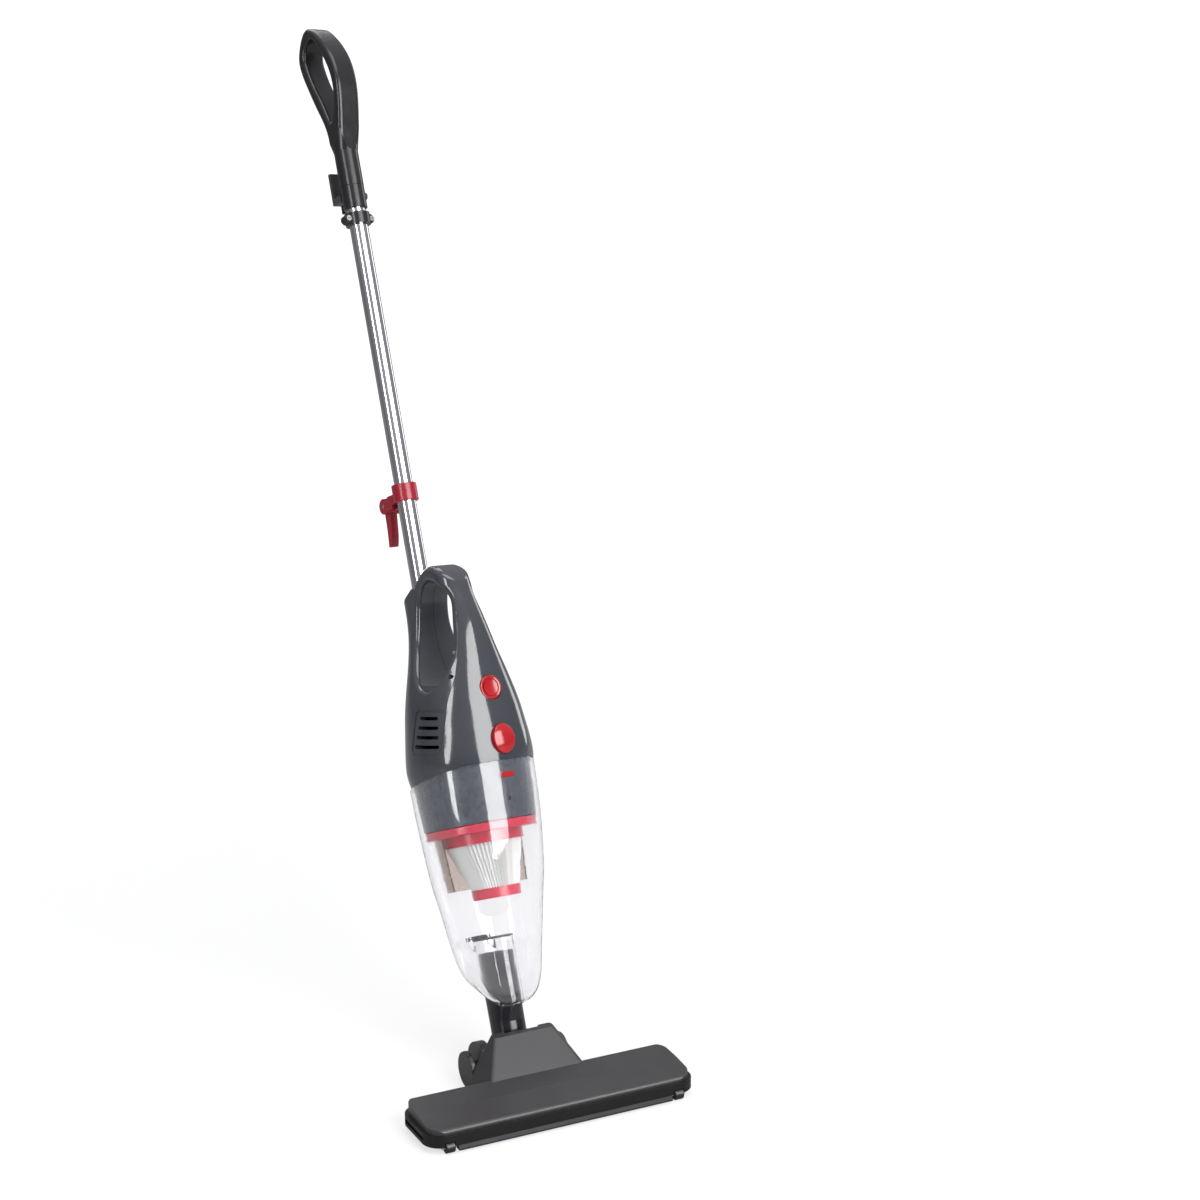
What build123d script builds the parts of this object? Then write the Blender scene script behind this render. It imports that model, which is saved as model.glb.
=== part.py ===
from build123d import *
from math import atan2, cos, degrees, hypot, radians, sin
import os

# Stick vacuum: a hand unit with a clear bin and a long tube handle, leaning on a wide floor head.
# Millimetres. +X runs along the floor head, -Y is the front, +Z is up, the floor is Z = 0.
# The floor head is modelled where it stands. Everything above it is modelled upright, with
# its origin on the tilt axis, +Z up the neck and +Y to the back, and is leaned when it is saved.

# --- driving dimensions: stance ---
lean = 23.0  # angle of the neck from the vertical
turn = 11.0  # the unit's turn about the neck
wheel_r = 18.0  # the tilt axis is the axle of these wheels
tilt_y = 81.0  # tilt axis behind the middle of the head

# --- fits ---
gap = 0.3  # between bodies that move
run = 0.05  # radial, shaft in hole
slip = 0.1  # radial, tube in its sockets

# --- floor head ---
head_w = 272.0
head_d = 67.0
head_front_z = 22.0
head_back_z = 28.0
cover_bottom = 8.5
cover_wall = 2.4
sole_t = 4.0
bumper_out = 3.5
bumper_bottom = 6.5
bumper_top = 17.0
hood_top_z = 57.0
hood_top_w = 64.0
hood_base_w = 120.0
hood_front_y = 8.0
hood_back_y = 66.0
cheek_r = 25.0
cheek_in = 30.0
cheek_t = 8.5
slot_y = -9.0
slot_w = head_w - 46
slot_d = 13.0
screw_spots = ((-70, 14), (70, 14), (-28, 60), (28, 60))
roller_r = 5.5
roller_w = 9.0
roller_x = head_w / 2 - 17
roller_y = -34.0
pin_r = 1.5
pin_l = 15.0
rim_t = 5.0
rim_x = 47.0
axle_r = 3.0

# --- neck ---
barrel_r = 17.0
barrel_w = 58.4
spigot_r = 14.0
spigot_top = 40.0
neck_r = 17.2
neck_bottom = 22.0
neck_x = 31.0  # oval part, across
neck_y = 43.0  # oval part, front to back
neck_wall = 2.4
neck_top = 106.0

# --- bin ---
bin_wall = 2.2
seam_z = 287.0  # where the bin meets the housing at the front
seam_y = -62.0  # the seam falls from here to the back
seam_drop = 19.0
duct_top = 119.0
duct_wall = 1.6
flap_t = 1.4
flap_y = 26.5
flap_z = 121.6
ear_x = 10.4
ear_t = 2.4
pin_small_r = 1.0

catch_z = 272.5  # catch plate in the front of the bin
catch_w = 15.0
catch_h = 5.0
catch_out = 75.0
catch_in = 71.6

# --- filter, on its own axis in front of the neck's ---
core_y = -13.0
ring_z = 222.0
ring_t = 8.7
ring_r = 55.0
collar_r = 39.6
collar_h = 10.0
pleat_count = 44
pleat_top_r = 37.5
pleat_low_r = 23.0
pleat_depth = 4.5
cap_r = 24.0
cap_y = -20.0
cap_z = 158.0
cap_h = 10.0

# --- hand unit ---
skirt_r = 58.0
skirt_low_r = 55.5
skirt_wall = 2.5
skirt_top = 289.7
bar_y = 19.0  # axis of the handle tube
mouth_y = 9.0
mouth_z = 473.0
power_z = 358.0
power_r = 12.0
release_z = 307.0
release_x = 12.0  # half sizes of the oval button
release_h = 14.5

motor_r = 33.0
motor_low = 258.0
motor_top = 306.0
fan_r = 44.0
fan_low = 238.0
cell_r = 9.2
cell_l = 65.0
cell_low = 320.5
cell_y = -14.0
tray_x = 36.0
tray_d = 52.0
room_r = 46.0
room_top = 358.0
board_z = 340.0
board_h = 76.0
board_room = 44.0
power_out = 72.6
release_out = 83.0
release_dome = 30.0
button_back = 66.0  # both buttons rest against the front wall with a flange
flange_t = 1.4
flange_out = 1.4
press_room = 6.0
rib_count = 6
rib_pitch = 1.9
vent_y = -45.0  # front end of the lowest vent slot
vent_z = 309.0
vent_l = 34.0
vent_step = 2.6  # each slot is shorter than the one below by this
vent_w = 3.4
vent_pitch = 9.2
vent_count = 4
vent_rise = 10.0
vent_recess = 0.9
shell_screws = ((-56, 397), (-56, 374))
shell_screw_r = 1.9
screw_seat_x = 23.5

# --- handle tube and handle ---
tube_r = 9.5
tube_wall = 0.9
tube_bottom = 398.0
tube_top = 912.0
hook_z = 572.0
hook_axis_y = 30.0  # lever's axis behind the tube's axis
hook_axis_z = 565.0
lever_l = 41.0
lever_w = 8.0
clamp_z = 858.0
collar_z = 869.0
grip_z = 893.0
lock_z = 883.0
lock_r = 4.0
hook_pin_r = 2.0
grip_r = 12.3
grip_w = 26.0

unit_place = Location((0, tilt_y, wheel_r), (-lean, 0, 0)) * Location((0, 0, 0), (0, 0, turn))
side = Plane.YZ  # sketches here read (y, z)
MIDDLE_UP = (Align.CENTER, Align.CENTER, Align.MIN)
os.makedirs("parts", exist_ok=True)


def save(part, name):
    part.label = name
    export_step(part, "parts/" + name + ".step")


def lean_and_save(piece, name):
    save(piece.part.moved(unit_place), name)


# ---------------------------------------------------------------- floor head
def head_plan(inset):
    with BuildSketch() as plan:
        RectangleRounded(head_w - 2 * inset, head_d - 2 * inset, 15 - inset)
    return plan.sketch


def head_side(inset):
    y_end = head_d / 2 - inset
    with BuildSketch(side) as profile:
        with BuildLine():
            Polyline(
                (-y_end, cover_bottom - 1),
                (-y_end, head_front_z - inset),
                (0, head_front_z + 4.2 - inset),
                (y_end, head_back_z - inset),
                (y_end, cover_bottom - 1),
                close=True,
            )
        make_face()
        fillet([v for v in profile.vertices() if v.Y > cover_bottom + 1], 4)
    return profile.sketch


def bar_form(inset):
    with BuildPart() as form:
        with BuildSketch(Plane.XY.offset(cover_bottom - 0.5)):
            add(head_plan(inset))
        extrude(amount=head_back_z)
        extrude(head_side(inset), amount=head_w, both=True, mode=Mode.INTERSECT)
    return form.part


bar_outer = bar_form(0)
bar_inner = bar_form(cover_wall)

with BuildPart() as wells:
    for x in (-roller_x, roller_x):
        with BuildSketch(side.offset(x - roller_w / 2 - 0.6)):
            with Locations((roller_y, roller_r)):
                Circle(roller_r + 0.8)
        extrude(amount=roller_w + 1.2)
        with BuildSketch(side.offset(x - pin_l / 2)):
            with Locations((roller_y, roller_r)):
                Circle(pin_r)
        extrude(amount=pin_l)
roller_wells = wells.part

with BuildPart() as head_cover:
    add(bar_outer)
    # the hood over the joint
    with BuildSketch(Plane.XY.offset(cover_bottom)):
        with Locations((0, (hood_front_y + hood_back_y) / 2)):
            RectangleRounded(hood_base_w, hood_back_y - hood_front_y, 3)
    with BuildSketch(Plane.XY.offset(hood_top_z)):
        with Locations((0, hood_back_y - 5)):
            RectangleRounded(hood_top_w, 10, 3)
    loft(ruled=True)
    # round cheeks around the tilt axis
    for x in (-cheek_in - cheek_t, cheek_in):
        with BuildSketch(side.offset(x)):
            with Locations((tilt_y, wheel_r)):
                Circle(cheek_r)
            with Locations((tilt_y - 20, cheek_r / 2)):
                Rectangle(40, cheek_r)
        extrude(amount=cheek_t)
    # level underside
    with BuildSketch(Plane.XY.offset(cover_bottom)):
        Rectangle(400, 400)
    extrude(amount=-60, mode=Mode.SUBTRACT)
    add(bar_inner, mode=Mode.SUBTRACT)
    # room for the barrel and for the swing of the neck
    with BuildSketch(side):
        with Locations((tilt_y, wheel_r)):
            Circle(barrel_r + 0.6)
    extrude(amount=cheek_in, both=True, mode=Mode.SUBTRACT)
    with BuildSketch(Plane.XY.offset(wheel_r)):
        with Locations((0, tilt_y + 30)):
            Rectangle(2 * neck_r + 3, 2 * (30 + neck_r + 1))
    extrude(amount=60, mode=Mode.SUBTRACT)
    # air way from the bar to the barrel
    with BuildSketch(Plane.XY.offset(cover_bottom)):
        with Locations((0, 46)):
            Rectangle(2 * neck_r, 40)
    extrude(amount=14, mode=Mode.SUBTRACT)
    # axle holes, and wells for the wheels and the front rollers
    with BuildSketch(side):
        with Locations((tilt_y, wheel_r)):
            Circle(axle_r)
    extrude(amount=60, both=True, mode=Mode.SUBTRACT)
    for x in (-60 - cheek_in - cheek_t, cheek_in + cheek_t):
        with BuildSketch(side.offset(x)):
            with Locations((tilt_y, wheel_r)):
                Circle(wheel_r + 1.5)
        extrude(amount=60, mode=Mode.SUBTRACT)
    add(roller_wells, mode=Mode.SUBTRACT)
save(head_cover.part, "head_cover")

with BuildPart() as head_sole:
    with BuildSketch(Plane.XY.offset(cover_bottom - sole_t)):
        add(head_plan(0.4))
        with Locations((0, 52)):
            Rectangle(2 * (cheek_in + cheek_t), 44)
    extrude(amount=sole_t)
    # suction slot across the bar, and the narrow way back to the barrel
    with BuildSketch(Plane.XY.offset(cover_bottom - sole_t)):
        with Locations((0, slot_y)):
            SlotOverall(slot_w, slot_d)
    extrude(amount=sole_t, mode=Mode.SUBTRACT)
    # barrel clearance
    with BuildSketch(side):
        with Locations((tilt_y, wheel_r)):
            Circle(barrel_r + 0.6)
    extrude(amount=cheek_in, both=True, mode=Mode.SUBTRACT)
    add(roller_wells, mode=Mode.SUBTRACT)
save(head_sole.part, "head_sole")

with BuildPart() as head_bumper:
    with BuildSketch(Plane.XY.offset(bumper_bottom)):
        add(head_plan(-bumper_out))
        add(head_plan(-slip), mode=Mode.SUBTRACT)
        with Locations((0, head_d / 2 + 2)):
            Rectangle(hood_base_w + 6, 12, mode=Mode.SUBTRACT)
    extrude(amount=bumper_top - bumper_bottom)
    # long grooves in both ends
    for x in (-1, 1):
        with BuildSketch(Plane.XY.offset(bumper_bottom + 3.5)):
            with Locations((x * (head_w / 2 + bumper_out), 0)):
                Rectangle(3.6, head_d - 26)
        extrude(amount=4, mode=Mode.SUBTRACT)
    add(roller_wells, mode=Mode.SUBTRACT)
save(head_bumper.part, "head_bumper")

with BuildPart() as front_lip:
    with BuildSketch(side):
        with BuildLine():
            Polyline(
                (-head_d / 2 - 6, 2.2),
                (-head_d / 2 - 6, 3.6),
                (-head_d / 2 - 3.4, bumper_bottom - slip),
                (-head_d / 2 + 0.4, bumper_bottom - slip),
                (-head_d / 2 + 0.4, cover_bottom - sole_t),
                (-head_d / 2 + 8, cover_bottom - sole_t),
                (-head_d / 2 + 8, 2.2),
                close=True,
            )
        make_face()
    extrude(amount=roller_x - pin_l / 2 - 0.5, both=True)
save(front_lip.part, "front_lip")

with BuildPart() as lint_strips:
    for y in (slot_y - slot_d / 2 - 7, slot_y + slot_d / 2 + 7):
        with BuildSketch(Plane.XY.offset(cover_bottom - sole_t)):
            with Locations((0, y)):
                SlotOverall(slot_w, 5)
        extrude(amount=-2.2)
save(lint_strips.part, "lint_strips")

with BuildPart() as sole_screws:
    with BuildSketch(Plane.XY.offset(cover_bottom - sole_t)):
        with Locations(*screw_spots):
            Circle(3)
    extrude(amount=-1.2)
    with BuildSketch(Plane.XY.offset(cover_bottom - sole_t - 1.2)):
        with Locations(*screw_spots):
            Rectangle(3.6, 0.8)
            Rectangle(0.8, 3.6)
    extrude(amount=0.7, mode=Mode.SUBTRACT)
save(sole_screws.part, "sole_screws")


def front_roller(x):
    with BuildPart() as roller:
        with BuildSketch(side.offset(x - roller_w / 2)):
            with Locations((roller_y, roller_r)):
                Circle(roller_r)
                Circle(pin_r + run, mode=Mode.SUBTRACT)
        extrude(amount=roller_w)
        outer_rims = roller.edges().filter_by(GeomType.CIRCLE).group_by(SortBy.RADIUS)[-1]
        fillet(outer_rims, 0.8)
    return roller.part


save(front_roller(-roller_x), "front_roller_left")
save(front_roller(roller_x), "front_roller_right")

with BuildPart() as roller_pins:
    for x in (-roller_x, roller_x):
        with BuildSketch(side.offset(x - pin_l / 2)):
            with Locations((roller_y, roller_r)):
                Circle(pin_r)
        extrude(amount=pin_l)
save(roller_pins.part, "roller_pins")


def rear_wheel(outward):
    with BuildPart() as wheel:
        with BuildSketch(side.offset(outward * rim_x)):
            with Locations((tilt_y, wheel_r)):
                Circle(wheel_r)
        extrude(amount=outward * rim_t)
        fillet(wheel.edges().filter_by(GeomType.CIRCLE), 1)
        with BuildSketch(side.offset(outward * (cheek_in + cheek_t + gap))):
            with Locations((tilt_y, wheel_r)):
                Circle(7)
        extrude(amount=outward * (rim_x - cheek_in - cheek_t - gap))
        with BuildSketch(side.offset(outward * cheek_in)):
            with Locations((tilt_y, wheel_r)):
                Circle(axle_r + run)
        extrude(amount=outward * (rim_x + 2 - cheek_in), mode=Mode.SUBTRACT)
    return wheel.part


save(rear_wheel(-1), "rear_wheel_left")
save(rear_wheel(1), "rear_wheel_right")

with BuildPart() as wheel_axles:
    for outward in (-1, 1):
        with BuildSketch(side.offset(outward * 20)):
            with Locations((tilt_y, wheel_r)):
                Circle(axle_r)
        extrude(amount=outward * (rim_x + 1.6 - 20))
save(wheel_axles.part, "wheel_axles")

with BuildPart() as tilt_elbow:
    Cylinder(barrel_r, barrel_w, rotation=(0, 90, 0))
    Cylinder(spigot_r, spigot_top, align=MIDDLE_UP)
    Cylinder(neck_r, neck_bottom - gap, align=MIDDLE_UP)
    Cylinder(barrel_r - 2.5, barrel_w - 16, rotation=(0, 90, 0), mode=Mode.SUBTRACT)
    Cylinder(spigot_r - 2.3, spigot_top + 1, align=MIDDLE_UP, mode=Mode.SUBTRACT)
    Cylinder(axle_r + run, barrel_w + 2, rotation=(0, 90, 0), mode=Mode.SUBTRACT)
    # mouth of the barrel, towards the bar
    with BuildSketch(Plane.XZ):
        with Locations((0, -3)):
            Rectangle(24, 14)
    extrude(amount=barrel_r + 2, mode=Mode.SUBTRACT)
save(tilt_elbow.part.moved(Location((0, tilt_y, wheel_r), (-lean, 0, 0))), "tilt_elbow")

# ---------------------------------------------------------------- neck
with BuildPart() as neck_tube:
    with BuildSketch(Plane.XY.offset(neck_bottom)):
        Circle(neck_r)
    with BuildSketch(Plane.XY.offset(neck_bottom + 16)):
        Circle(neck_r)
    loft(ruled=True)
    with BuildSketch(Plane.XY.offset(neck_bottom + 16)):
        Circle(neck_r)
    with BuildSketch(Plane.XY.offset(neck_bottom + 40)):
        Ellipse(neck_x / 2, neck_y / 2)
    loft()
    with BuildSketch(Plane.XY.offset(neck_bottom + 40)):
        Ellipse(neck_x / 2, neck_y / 2)
    extrude(amount=neck_top - neck_bottom - 40)
    # round bore for the spigot, then an oval way up
    Cylinder(
        spigot_r + gap,
        neck_bottom + 20,
        align=MIDDLE_UP,
        mode=Mode.SUBTRACT,
    )
    with BuildSketch(Plane.XY.offset(neck_bottom + 20)):
        Circle(spigot_r + gap - 2)
    with BuildSketch(Plane.XY.offset(neck_bottom + 42)):
        Ellipse(neck_x / 2 - neck_wall, neck_y / 2 - neck_wall)
    loft(mode=Mode.SUBTRACT)
    with BuildSketch(Plane.XY.offset(neck_bottom + 42)):
        Ellipse(neck_x / 2 - neck_wall, neck_y / 2 - neck_wall)
    extrude(amount=neck_top, mode=Mode.SUBTRACT)
lean_and_save(neck_tube, "neck_tube")


# ---------------------------------------------------------------- clear bin
# sections of the bin from the top down: half width, front (y, z), back (y, z), corner radius,
# and the angle by which the wall has turned under
bin_sections = (
    (61.8, (-74.8, 300), (48.8, 300), 60, 0),
    (61.7, (-74.5, 282), (48.8, 282), 59.5, 0),
    (61.2, (-73.8, 264), (48.6, 264), 59, 0),
    (60.4, (-72.8, 245), (48.0, 245), 58, 0),
    (59.3, (-71.2, 225), (47.0, 225), 57, 0),
    (57.8, (-68.4, 205), (45.7, 205), 55, 0),
    (55.9, (-64.9, 186), (44.0, 186), 52, 0),
    (53.4, (-60.2, 166), (41.6, 167), 49, 1),
    (50.4, (-55.0, 146), (39.0, 149), 46, 3),
    (47.5, (-49.4, 125), (36.4, 131), 42, 5),
    (44.5, (-43.8, 105), (34.0, 116), 38, 8),
    (39.8, (-38.0, 78), (30.0, 101), 33, 25),
    (34.0, (-32.5, 62), (24.5, 91.5), 27, 45),
    (26.5, (-25.0, 54.5), (17.0, 83), 20, 65),
    (17.0, (-16.0, 51.5), (7.5, 74), 11, 80),
)
# sections of the housing from the bottom up
housing_sections = (
    (262, 61.3, -73.8, 48.6, 59),
    (286, 61.8, -74.8, 48.8, 60),
    (304, 61.5, -76.0, 47.5, 59),
    (326, 57.0, -75.0, 45.0, 54),
    (345, 52.5, -73.5, 43.0, 49),
    (366, 45.5, -71.0, 41.0, 42),
    (388, 36.5, -69.0, 39.5, 34),
    (409, 28.0, -67.0, 38.5, 26),
    (430, 22.0, -63.5, 38.0, 20.5),
    (451, 19.5, -57.5, 38.0, 18),
    (472, 18.5, -52.0, 38.0, 17),
    (496, 18.0, -46.0, 38.0, 16.5),
)


def lofted(sections, inset):
    with BuildPart() as form:
        for z, half, front, back, corner in sections:
            with BuildSketch(Plane.XY.offset(z)):
                with Locations((0, (front + back) / 2)):
                    RectangleRounded(2 * (half - inset), back - front - 2 * inset, corner - inset)
        loft()
    return form.part


def below_seam(clear):
    with BuildPart() as region:
        with BuildSketch(side):
            with BuildLine():
                Polyline(
                    (-120, 0),
                    (-120, seam_z - clear),
                    (seam_y, seam_z - clear),
                    (60, seam_z - seam_drop - clear),
                    (60, 0),
                    close=True,
                )
            make_face()
        extrude(amount=90, both=True)
    return region.part


def bin_form(inset):
    with BuildPart() as form:
        for half, front, back, corner, under in bin_sections:
            depth = hypot(back[0] - front[0], back[1] - front[1])
            slope = degrees(atan2(back[1] - front[1], back[0] - front[0]))
            middle = Location((0, (front[0] + back[0]) / 2, (front[1] + back[1]) / 2), (slope, 0, 0))
            drawn_in = inset * cos(radians(under))
            with BuildSketch(Plane(middle).offset(inset * sin(radians(under)))):
                RectangleRounded(2 * (half - drawn_in), depth - 2 * drawn_in, corner - drawn_in)
        loft()
    return form.part


def oval(half_x, half_y, low, high):
    with BuildPart() as tube:
        with BuildSketch(Plane.XY.offset(low)):
            Ellipse(half_x, half_y)
        extrude(amount=high - low)
    return tube.part


duct_x = neck_x / 2 + gap + duct_wall
duct_y = neck_y / 2 + gap + duct_wall
bin_outer = bin_form(0)

with BuildPart() as dust_bin:
    add(bin_outer)
    add(below_seam(gap), mode=Mode.INTERSECT)
    add(bin_form(bin_wall), mode=Mode.SUBTRACT)
    # the inlet duct stands in this hole
    add(oval(duct_x + slip, duct_y + slip, 30, duct_top), mode=Mode.SUBTRACT)
    # slot for the catch plate
    with BuildSketch(Plane.XZ.offset(60)):
        with Locations((0, catch_z)):
            RectangleRounded(catch_w + 2 * slip, catch_h + 2 * slip, 0.9)
    extrude(amount=20, mode=Mode.SUBTRACT)
lean_and_save(dust_bin, "dust_bin")

with BuildPart() as inlet_duct:
    add(bin_outer & oval(duct_x, duct_y, 40, duct_top))
    # ears for the flap's pin
    for x in (-ear_x - ear_t, ear_x):
        with BuildSketch(side.offset(x)):
            with BuildLine():
                Polyline(
                    (13, duct_top - 12),
                    (13, duct_top),
                    (flap_y - 4, duct_top),
                    (flap_y - 4, flap_z + 2),
                    (flap_y + 3, flap_z + 2),
                    (flap_y + 3, duct_top - 4),
                    close=True,
                )
            make_face()
        extrude(amount=ear_t)
    with BuildSketch(side):
        with Locations((flap_y, flap_z)):
            Circle(pin_small_r)
    extrude(amount=ear_x + ear_t + 1, both=True, mode=Mode.SUBTRACT)
    add(oval(duct_x - duct_wall, duct_y - duct_wall, 30, neck_top + gap), mode=Mode.SUBTRACT)
    add(oval(duct_x - duct_wall - 2, duct_y - duct_wall - 2, 30, duct_top), mode=Mode.SUBTRACT)
lean_and_save(inlet_duct, "inlet_duct")

with BuildPart() as bin_catch:
    with BuildSketch(Plane.XZ.offset(catch_in)):
        with Locations((0, catch_z)):
            RectangleRounded(catch_w, catch_h, 0.8)
    extrude(amount=catch_out - catch_in)
    fillet(bin_catch.faces().sort_by(Axis.Y)[0].edges(), 0.5)
lean_and_save(bin_catch, "bin_catch")

with BuildPart() as inlet_flap:
    with BuildSketch(Plane.XY.offset(duct_top + gap)):
        Ellipse(duct_x + 0.6, duct_y + 0.6)
        with Locations((0, flap_y - 4)):
            Rectangle(2 * ear_x - 0.8, 8)
    extrude(amount=flap_t)
    with BuildSketch(side):
        with Locations((flap_y, flap_z)):
            Circle(2.2)
    extrude(amount=ear_x - gap, both=True)
    with BuildSketch(side):
        with Locations((flap_y, flap_z)):
            Circle(pin_small_r + run)
    extrude(amount=ear_x + 1, both=True, mode=Mode.SUBTRACT)
lean_and_save(inlet_flap, "inlet_flap")

with BuildPart() as flap_pin:
    with BuildSketch(side):
        with Locations((flap_y, flap_z)):
            Circle(pin_small_r)
    extrude(amount=ear_x + ear_t, both=True)
lean_and_save(flap_pin, "flap_pin")

# ---------------------------------------------------------------- filter
core_axis = Axis((0, core_y, 0), (0, 0, 1))
core_plane = Plane.XZ.offset(-core_y)

with BuildPart() as filter_ring:
    with BuildSketch(core_plane):
        with BuildLine():
            Polyline(
                (30, ring_z - collar_h),
                (collar_r, ring_z - collar_h),
                (collar_r, ring_z),
                (ring_r, ring_z),
                (ring_r, ring_z + ring_t),
                (30, ring_z + ring_t),
                close=True,
            )
        make_face()
    revolve(axis=core_axis)
    fillet(filter_ring.edges().filter_by(GeomType.CIRCLE).group_by(SortBy.RADIUS)[-1], 1.6)
    # shallow band around the flange
    with BuildSketch(core_plane):
        with Locations((ring_r, ring_z + ring_t / 2)):
            Rectangle(1.2, 2.4)
    revolve(axis=core_axis, mode=Mode.SUBTRACT)
lean_and_save(filter_ring, "filter_ring")


def star(radius):
    with BuildSketch() as outline:
        with BuildLine():
            tips = []
            for i in range(2 * pleat_count):
                a = radians(180 * i / pleat_count)
                r = radius - pleat_depth * (i % 2) * radius / pleat_top_r
                tips.append((r * sin(a), r * cos(a)))
            Polyline(*tips, close=True)
        make_face()
    return outline.sketch


pleat_top = ring_z - collar_h
pleat_low = cap_z + cap_h
with BuildPart() as filter_pleats:
    with BuildSketch(Plane((0, cap_y, pleat_low))):
        add(star(pleat_low_r))
    with BuildSketch(Plane((0, core_y, pleat_top))):
        add(star(pleat_top_r))
    loft(ruled=True)
    with BuildSketch(Plane((0, cap_y, pleat_low + 2))):
        Circle(pleat_low_r - pleat_depth - 1.5)
    with BuildSketch(Plane((0, core_y, pleat_top))):
        Circle(pleat_top_r - pleat_depth - 2.5)
    loft(ruled=True, mode=Mode.SUBTRACT)
lean_and_save(filter_pleats, "filter_pleats")

with BuildPart() as filter_cap:
    with BuildSketch(Plane((0, cap_y, cap_z))):
        Circle(cap_r - 0.6)
    with BuildSketch(Plane((0, cap_y, pleat_low))):
        Circle(cap_r)
    loft()
    # finger recess with a bar across it
    with BuildSketch(Plane((0, cap_y, cap_z))):
        Circle(cap_r - 3)
        Rectangle(5, 2 * cap_r, mode=Mode.SUBTRACT)
    extrude(amount=4, mode=Mode.SUBTRACT)
lean_and_save(filter_cap, "filter_cap")

with BuildPart() as dust_deflector:
    with BuildSketch(core_plane):
        with BuildLine():
            Polyline((46, ring_z), (47.4, ring_z), (43.4, 170), (42, 170), close=True)
        make_face()
    revolve(axis=core_axis, revolution_arc=180)
lean_and_save(dust_deflector, "dust_deflector")

# ---------------------------------------------------------------- motor end
with BuildPart() as motor_skirt:
    with BuildSketch(core_plane):
        with BuildLine():
            Polyline(
                (32, ring_z + ring_t + gap),
                (skirt_low_r, ring_z + ring_t + gap),
                (skirt_r - 0.4, 262),
                (skirt_r, skirt_top),
                (skirt_r - skirt_wall, skirt_top),
                (skirt_r - skirt_wall - 0.4, 262),
                (skirt_low_r - skirt_wall, 234),
                (32, 234),
                close=True,
            )
        make_face()
    revolve(axis=core_axis)
    # moulding mark on the front
    with BuildSketch(Plane.XZ.offset(60)):
        with Locations((0, 250)):
            Circle(2)
    extrude(amount=20, mode=Mode.SUBTRACT)
lean_and_save(motor_skirt, "motor_skirt")

with BuildPart() as fan_shroud:
    with BuildSketch(core_plane):
        with BuildLine():
            Polyline(
                (18, 234),
                (50, 234),
                (50, motor_low),
                (48.2, motor_low),
                (48.2, 235.6),
                (18, 235.6),
                close=True,
            )
        make_face()
    revolve(axis=core_axis)
lean_and_save(fan_shroud, "fan_shroud")

with BuildPart() as impeller:
    with Locations((0, core_y, 0)):
        with Locations((0, 0, fan_low)):
            Cylinder(fan_r, 1.4, align=MIDDLE_UP)
            Cylinder(16, 3, align=MIDDLE_UP, mode=Mode.SUBTRACT)
        with Locations((0, 0, fan_low + 12)):
            Cylinder(fan_r, 1.4, align=MIDDLE_UP)
        with Locations((0, 0, fan_low)):
            Cylinder(2.5, 26, align=MIDDLE_UP)
            with PolarLocations(29, 9):
                with Locations(Location((0, 0, 0.7), (0, 0, 35))):
                    Box(26, 1.3, 12, align=MIDDLE_UP)
lean_and_save(impeller, "impeller")

with BuildPart() as motor:
    with Locations((0, core_y, 0)):
        with Locations((0, 0, motor_low)):
            Cylinder(50, 2, align=MIDDLE_UP)
            Cylinder(motor_r, motor_top - motor_low, align=MIDDLE_UP)
        with Locations((0, 0, motor_top)):
            Cylinder(12, 5, align=MIDDLE_UP)
            with PolarLocations(24, 2):
                Box(10, 9, 6, align=MIDDLE_UP)
        with Locations((0, 0, motor_low)):
            Cylinder(2.5 + run, 8, align=MIDDLE_UP, mode=Mode.SUBTRACT)
            with PolarLocations(41, 12):
                Cylinder(4, 8, mode=Mode.SUBTRACT)
lean_and_save(motor, "motor")

with BuildPart() as motor_mount:
    with Locations((0, core_y, skirt_top - 9)):
        Cylinder(skirt_r - skirt_wall - 0.3, 7, align=MIDDLE_UP)
        Cylinder(motor_r, 8, align=MIDDLE_UP, mode=Mode.SUBTRACT)
        with PolarLocations(44.5, 8):
            Cylinder(6, 20, mode=Mode.SUBTRACT)
lean_and_save(motor_mount, "motor_mount")

cell_rows = [cell_low + cell_r, cell_low + 3 * cell_r + 0.2]
cell_columns = [cell_y - 2 * cell_r - 0.4, cell_y, cell_y + 2 * cell_r + 0.4]
with BuildPart() as battery_cells:
    with BuildSketch(side.offset(-cell_l / 2)):
        with Locations(*[(y, z) for y in cell_columns for z in cell_rows]):
            Circle(cell_r)
    extrude(amount=cell_l)
lean_and_save(battery_cells, "battery_cells")

with BuildPart() as battery_tray:
    with Locations((0, core_y, cell_low - 2.5)):
        Cylinder(room_r - 0.2, 2.5, align=MIDDLE_UP)
    for x in (-tray_x, cell_l / 2 + gap):
        with BuildSketch(side.offset(x)):
            with Locations((cell_y, cell_low + 14)):
                Rectangle(tray_d, 32)
        extrude(amount=tray_x - cell_l / 2 - gap)
    with Locations((0, -63.8, cell_low)):
        Box(60, 20, 20, mode=Mode.SUBTRACT)
lean_and_save(battery_tray, "battery_tray")

# ---------------------------------------------------------------- housing
hand_hole = (
    (-20, 474),
    (-42, 458),
    (-49.5, 425),
    (-49, 385),
    (-36, 366),
    (-18, 368),
    (3, 398),
    (5, 446),
)

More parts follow.
